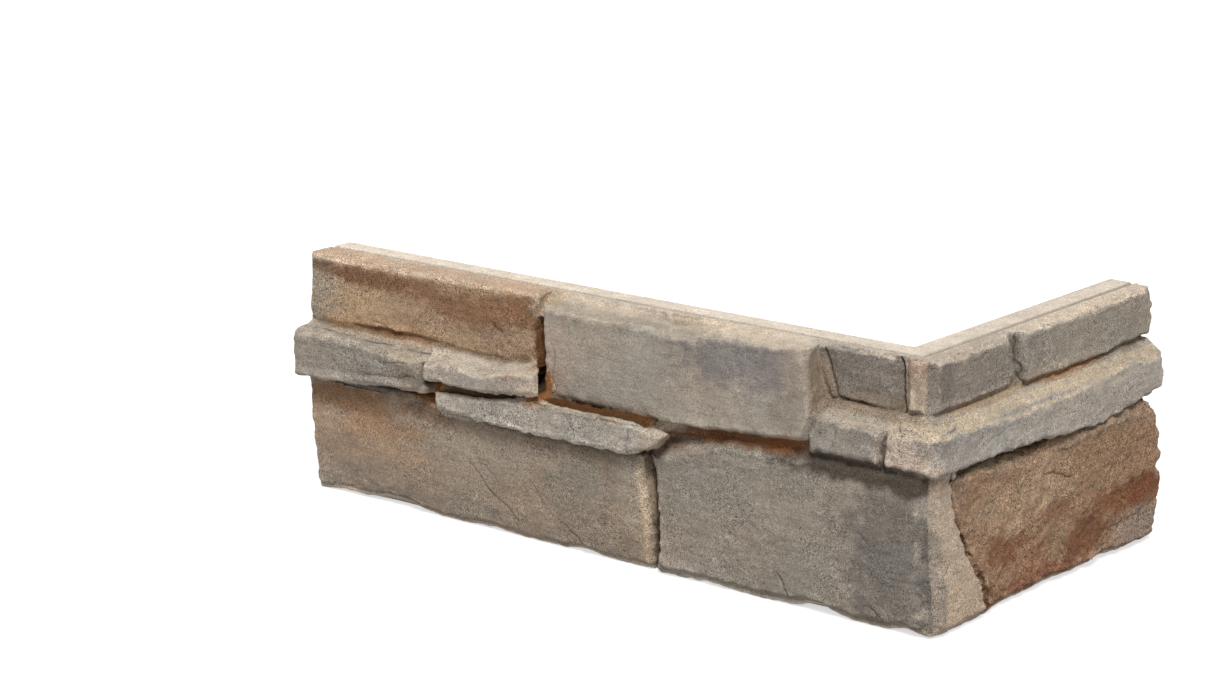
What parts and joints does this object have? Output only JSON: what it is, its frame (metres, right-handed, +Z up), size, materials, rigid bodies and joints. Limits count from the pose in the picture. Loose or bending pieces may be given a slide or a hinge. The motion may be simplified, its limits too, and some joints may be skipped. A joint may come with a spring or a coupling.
{
  "type": "stone cladding corner strip",
  "caption": "L-shaped strip of cast stone wall cladding with stepped, split-faced stones, two flat wall faces and a flat base, for turning an outside corner.",
  "frame": {"origin": "foot of the inside corner, where the two wall faces and the base meet", "axes": "+X runs from the long leg's free end towards the corner, +Y from the corner towards the short leg's free end, +Z up"},
  "size_m": [0.3079, 0.179, 0.1016],
  "materials": {
    "cast_stone": "dry, matt, split-faced cast concrete with mineral colour washes"
  },
  "bodies": {
    "root": {"cast_stone_panel": "cast_stone"}
  },
  "joints": []
}
